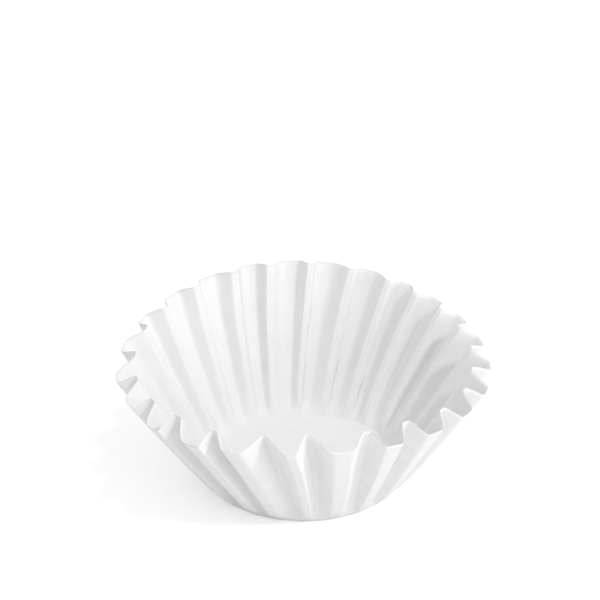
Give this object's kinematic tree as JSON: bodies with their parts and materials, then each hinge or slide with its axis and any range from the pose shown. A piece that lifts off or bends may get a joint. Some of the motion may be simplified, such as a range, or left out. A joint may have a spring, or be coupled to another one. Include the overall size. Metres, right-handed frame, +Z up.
{
  "type": "paper coffee filter",
  "caption": "Flat-bottomed fluted paper cup that holds ground coffee while water drips through it.",
  "frame": {"origin": "middle of the underside of the flat floor", "axes": "+Z up out of the cup, -Y towards the low side of the rim, +X to the right of it"},
  "size_m": [0.1511, 0.1514, 0.0651],
  "materials": {
    "paper": "matt white crepe paper"
  },
  "bodies": {
    "root": {"filter_paper": "paper"}
  },
  "joints": []
}
